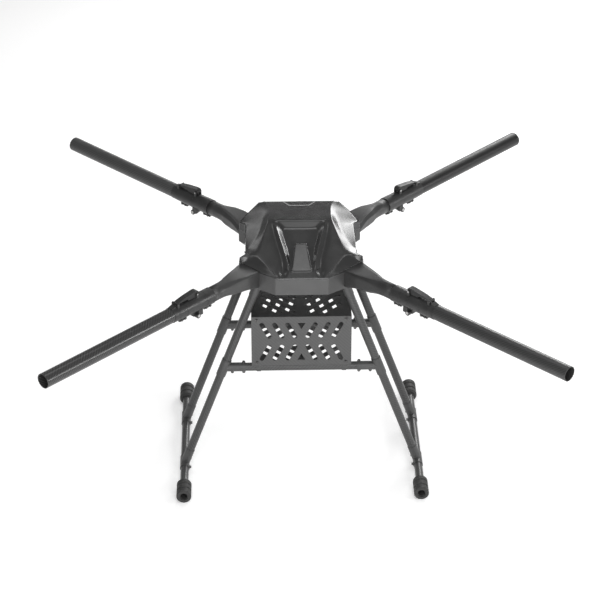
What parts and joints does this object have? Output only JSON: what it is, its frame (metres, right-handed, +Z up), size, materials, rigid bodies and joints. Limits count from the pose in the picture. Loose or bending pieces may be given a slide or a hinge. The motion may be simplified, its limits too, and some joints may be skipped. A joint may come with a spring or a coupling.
{
  "type": "multirotor drone airframe",
  "caption": "Folding carbon-tube multirotor airframe with faceted body shell, hinged arms with latch levers, splayed landing gear and slotted payload bay.",
  "frame": {"origin": "on the ground, below the body's centre", "axes": "+Z up; the front faces -Y; +X is to the right when facing the front of the body from the camera side; the four arms lie on the diagonals"},
  "size_m": [1.1624, 1.1624, 0.621],
  "materials": {
    "cover_shell": "satin moulded shell",
    "hull_shell": "satin moulded shell",
    "arm_root_moulding": "fine-grained satin moulding",
    "arm_carbon_tube": "carbon-fibre twill tube, satin clear coat",
    "gear_carbon_tube": "carbon-fibre twill tube, satin clear coat",
    "carbon_plate": "carbon-fibre sheet, matt",
    "gear_fitting": "glass-filled nylon, matt",
    "collar_metal": "black anodised, machined",
    "latch_metal": "black anodised, machined",
    "bright_steel": "polished pin ends",
    "dark_screw": "black oxide",
    "rubber_sleeve": "matt ribbed",
    "circuit_board": "solder mask"
  },
  "bodies": {
    "airframe": {"arm_root_front_left": "arm_root_moulding", "arm_root_front_right": "arm_root_moulding", "arm_root_rear_left": "arm_root_moulding", "arm_root_rear_right": "arm_root_moulding", "bay_brackets": "gear_fitting", "bay_clamps": "gear_fitting", "bay_floor": "carbon_plate", "bay_screws": "dark_screw", "bay_top": "carbon_plate", "bay_wall_front": "carbon_plate", "bay_wall_rear": "carbon_plate", "cover_screws": "dark_screw", "cross_tees": "gear_fitting", "cross_tube_front": "gear_carbon_tube", "cross_tube_rear": "gear_carbon_tube", "fixed_collar_front_left": "collar_metal", "fixed_collar_front_right": "collar_metal", "fixed_collar_rear_left": "collar_metal", "fixed_collar_rear_right": "collar_metal", "gear_bolts": "dark_screw", "hinge_pins": "bright_steel", "keeper_pins": "bright_steel", "leg_sockets": "gear_fitting", "leg_tube_front_left": "gear_carbon_tube", "leg_tube_front_right": "gear_carbon_tube", "leg_tube_rear_left": "gear_carbon_tube", "leg_tube_rear_right": "gear_carbon_tube", "lower_centre_plate": "carbon_plate", "lower_hull": "hull_shell", "plate_bolts": "dark_screw", "plate_standoffs": "collar_metal", "power_board": "circuit_board", "root_clamp_bolts": "dark_screw", "skid_sleeves_left": "rubber_sleeve", "skid_sleeves_right": "rubber_sleeve", "skid_tees": "gear_fitting", "skid_tube_left": "gear_carbon_tube", "skid_tube_right": "gear_carbon_tube", "top_cover": "cover_shell", "upper_centre_plate": "carbon_plate"},
    "arm_front_right": {"arm_clamp_bolts_front_right": "dark_screw", "arm_tube_front_right": "arm_carbon_tube", "folding_collar_front_right": "collar_metal", "lever_pin_front_right": "bright_steel"},
    "lever_front_right": {"latch_lever_front_right": "latch_metal"},
    "arm_rear_right": {"arm_clamp_bolts_rear_right": "dark_screw", "arm_tube_rear_right": "arm_carbon_tube", "folding_collar_rear_right": "collar_metal", "lever_pin_rear_right": "bright_steel"},
    "lever_rear_right": {"latch_lever_rear_right": "latch_metal"},
    "arm_rear_left": {"arm_clamp_bolts_rear_left": "dark_screw", "arm_tube_rear_left": "arm_carbon_tube", "folding_collar_rear_left": "collar_metal", "lever_pin_rear_left": "bright_steel"},
    "lever_rear_left": {"latch_lever_rear_left": "latch_metal"},
    "arm_front_left": {"arm_clamp_bolts_front_left": "dark_screw", "arm_tube_front_left": "arm_carbon_tube", "folding_collar_front_left": "collar_metal", "lever_pin_front_left": "bright_steel"},
    "lever_front_left": {"latch_lever_front_left": "latch_metal"}
  },
  "joints": [
    {"name": "fold_front_right", "type": "hinge", "parent": "airframe", "child": "arm_front_right", "pos_m": [0.2489, -0.2489, 0.535], "axis": [0.7071, 0.7071, 0], "range_deg": [0, 90]},
    {"name": "latch_front_right", "type": "hinge", "parent": "arm_front_right", "child": "lever_front_right", "pos_m": [0.28885, -0.28885, 0.5844], "axis": [0.7071, 0.7071, 0], "range_deg": [0, 90]},
    {"name": "fold_rear_right", "type": "hinge", "parent": "airframe", "child": "arm_rear_right", "pos_m": [0.2489, 0.2489, 0.535], "axis": [-0.7071, 0.7071, 0], "range_deg": [0, 90]},
    {"name": "latch_rear_right", "type": "hinge", "parent": "arm_rear_right", "child": "lever_rear_right", "pos_m": [0.28885, 0.28885, 0.5844], "axis": [-0.7071, 0.7071, 0], "range_deg": [0, 90]},
    {"name": "fold_rear_left", "type": "hinge", "parent": "airframe", "child": "arm_rear_left", "pos_m": [-0.2489, 0.2489, 0.535], "axis": [-0.7071, -0.7071, 0], "range_deg": [0, 90]},
    {"name": "latch_rear_left", "type": "hinge", "parent": "arm_rear_left", "child": "lever_rear_left", "pos_m": [-0.28885, 0.28885, 0.5844], "axis": [-0.7071, -0.7071, 0], "range_deg": [0, 90]},
    {"name": "fold_front_left", "type": "hinge", "parent": "airframe", "child": "arm_front_left", "pos_m": [-0.2489, -0.2489, 0.535], "axis": [0.7071, -0.7071, 0], "range_deg": [0, 90]},
    {"name": "latch_front_left", "type": "hinge", "parent": "arm_front_left", "child": "lever_front_left", "pos_m": [-0.28885, -0.28885, 0.5844], "axis": [0.7071, -0.7071, 0], "range_deg": [0, 90]}
  ],
  "couplings": [
    {"joint": "latch_front_right", "follows": "fold_front_right", "ratio": 1},
    {"joint": "latch_rear_right", "follows": "fold_rear_right", "ratio": 1},
    {"joint": "latch_rear_left", "follows": "fold_rear_left", "ratio": 1},
    {"joint": "latch_front_left", "follows": "fold_front_left", "ratio": 1}
  ]
}
